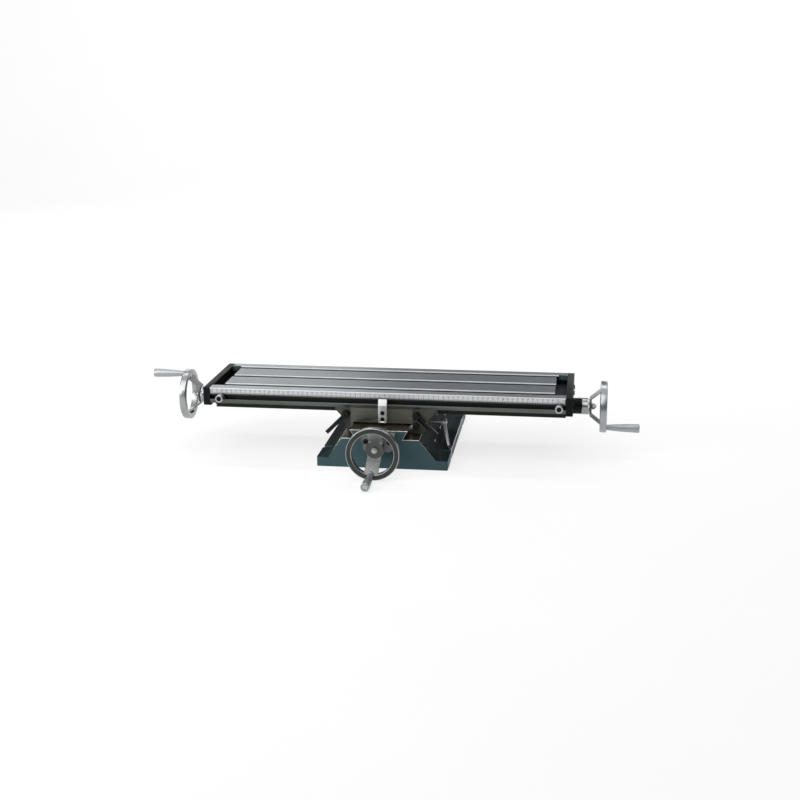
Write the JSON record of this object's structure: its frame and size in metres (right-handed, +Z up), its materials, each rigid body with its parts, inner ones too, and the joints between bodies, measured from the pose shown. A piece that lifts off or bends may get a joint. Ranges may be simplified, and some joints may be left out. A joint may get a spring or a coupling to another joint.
{
  "type": "cross slide table",
  "caption": "Two-axis cross slide table: T-slot table over a dovetail saddle on a flanged base, with handwheels, graduated dials, table stops and lock levers.",
  "frame": {"origin": "centre of the base's underside, where it stands on the bench", "axes": "+X along the table to the right as seen from the front handwheel, +Y to the rear, +Z up"},
  "size_m": [1.0346, 0.5463, 0.1561],
  "materials": {
    "base_casting": "satin paint on iron, ways ground bright",
    "saddle_casting": "ground face, rougher wings",
    "table_casting": "ground lengthwise",
    "bracket_casting": "satin",
    "bearing_plate": "satin",
    "black_steel": "black oxide",
    "bronze": "machined",
    "brass": "machined",
    "plain_steel": "machined",
    "rule_steel": "satin",
    "wheel_alloy": "polished",
    "dial_chrome": "satin chrome",
    "knob_plastic": "gloss"
  },
  "bodies": {
    "root": {"base": "base_casting", "front_bracket": "bearing_plate", "front_bracket_screws": "black_steel", "front_bush": "bronze", "front_oiler": "plain_steel"},
    "saddle": {"saddle": "saddle_casting", "saddle_gib": "plain_steel", "saddle_gib_screws": "black_steel", "table_gib": "plain_steel", "table_gib_screws": "black_steel", "x_nut": "bronze", "x_nut_screws": "black_steel", "y_nut": "bronze", "y_nut_screws": "black_steel", "pointer_block": "plain_steel", "pointer_screws": "black_steel", "table_lock_pads": "brass", "saddle_lock_pad": "brass"},
    "left_table_lock": {"left_lock_lever": "black_steel", "left_lock_screw": "black_steel"},
    "right_table_lock": {"right_lock_lever": "black_steel", "right_lock_screw": "black_steel"},
    "saddle_lock": {"saddle_lock_lever": "plain_steel", "saddle_lock_screw": "plain_steel", "saddle_lock_knob": "knob_plastic"},
    "table": {"table": "table_casting", "left_end_bracket": "bracket_casting", "right_end_bracket": "bracket_casting", "end_bracket_screws": "black_steel", "end_bushes": "bronze", "end_oilers": "plain_steel", "scale_rule": "rule_steel", "rule_rivets": "plain_steel"},
    "left_stop": {"left_stop_sleeve": "plain_steel", "left_stop_screw": "black_steel", "left_stop_nut": "black_steel"},
    "right_stop": {"right_stop_sleeve": "plain_steel", "right_stop_screw": "black_steel", "right_stop_nut": "black_steel"},
    "x_screw": {"x_leadscrew": "plain_steel", "x_thrust_collars": "plain_steel", "x_wheel_keys": "plain_steel", "left_handwheel": "wheel_alloy", "right_handwheel": "wheel_alloy", "x_wheel_nuts": "plain_steel", "x_grip_spindles": "plain_steel"},
    "left_dial": {"left_dial": "dial_chrome"},
    "right_dial": {"right_dial": "dial_chrome"},
    "front_dial": {"front_dial": "dial_chrome"},
    "left_grip": {"left_grip": "wheel_alloy"},
    "right_grip": {"right_grip": "wheel_alloy"},
    "front_grip": {"front_grip": "wheel_alloy"},
    "y_screw": {"y_leadscrew": "plain_steel", "y_thrust_collar": "plain_steel", "y_wheel_key": "plain_steel", "front_handwheel": "wheel_alloy", "y_wheel_nut": "plain_steel", "y_grip_spindle": "plain_steel"}
  },
  "joints": [
    {"name": "saddle_slide", "type": "slide", "parent": "root", "child": "saddle", "axis": [0, 1, 0], "range_m": [-0.0425, 0.1325]},
    {"name": "table_slide", "type": "slide", "parent": "saddle", "child": "table", "axis": [1, 0, 0], "range_m": [-0.24, 0.24]},
    {"name": "y_screw_turn", "type": "hinge", "parent": "root", "child": "y_screw", "pos_m": [-0.006, -0.2115, 0.0545], "axis": [0, 1, 0], "range_deg": [-6130, 19100]},
    {"name": "x_screw_turn", "type": "hinge", "parent": "table", "child": "x_screw", "pos_m": [0, -0.047, 0.1026], "axis": [1, 0, 0], "range_deg": [-34600, 34600]},
    {"name": "left_dial_turn", "type": "hinge", "parent": "x_screw", "child": "left_dial", "pos_m": [-0.404, -0.047, 0.1026], "axis": [1, 0, 0], "continuous": true},
    {"name": "right_dial_turn", "type": "hinge", "parent": "x_screw", "child": "right_dial", "pos_m": [0.404, -0.047, 0.1026], "axis": [1, 0, 0], "continuous": true},
    {"name": "front_dial_turn", "type": "hinge", "parent": "y_screw", "child": "front_dial", "pos_m": [-0.006, -0.2355, 0.0545], "axis": [0, 1, 0], "continuous": true},
    {"name": "left_grip_turn", "type": "hinge", "parent": "x_screw", "child": "left_grip", "pos_m": [-0.483, -0.047, 0.1471], "axis": [1, 0, 0], "continuous": true},
    {"name": "right_grip_turn", "type": "hinge", "parent": "x_screw", "child": "right_grip", "pos_m": [0.483, -0.047, 0.0581], "axis": [1, 0, 0], "continuous": true},
    {"name": "front_grip_turn", "type": "hinge", "parent": "y_screw", "child": "front_grip", "pos_m": [-0.00988, -0.3145, 0.01017], "axis": [0, 1, 0], "continuous": true},
    {"name": "left_lock_turn", "type": "hinge", "parent": "saddle", "child": "left_table_lock", "pos_m": [-0.08, -0.1558, 0.1], "axis": [0, -1, 0], "range_deg": [-35, 20]},
    {"name": "right_lock_turn", "type": "hinge", "parent": "saddle", "child": "right_table_lock", "pos_m": [0.0655, -0.1558, 0.1], "axis": [0, -1, 0], "range_deg": [-10, 34]},
    {"name": "saddle_lock_turn", "type": "hinge", "parent": "saddle", "child": "saddle_lock", "pos_m": [0.1145, -0.09, 0.071], "axis": [-1, 0, 0], "range_deg": [0, 50]},
    {"name": "left_stop_slide", "type": "slide", "parent": "table", "child": "left_stop", "axis": [1, 0, 0], "range_m": [0, 0.07]},
    {"name": "right_stop_slide", "type": "slide", "parent": "table", "child": "right_stop", "axis": [-1, 0, 0], "range_m": [0, 0.07]}
  ],
  "couplings": [
    {"joint": "x_screw_turn", "follows": "table_slide", "rad_per_m": 2513.3},
    {"joint": "y_screw_turn", "follows": "saddle_slide", "rad_per_m": 2513.3}
  ]
}
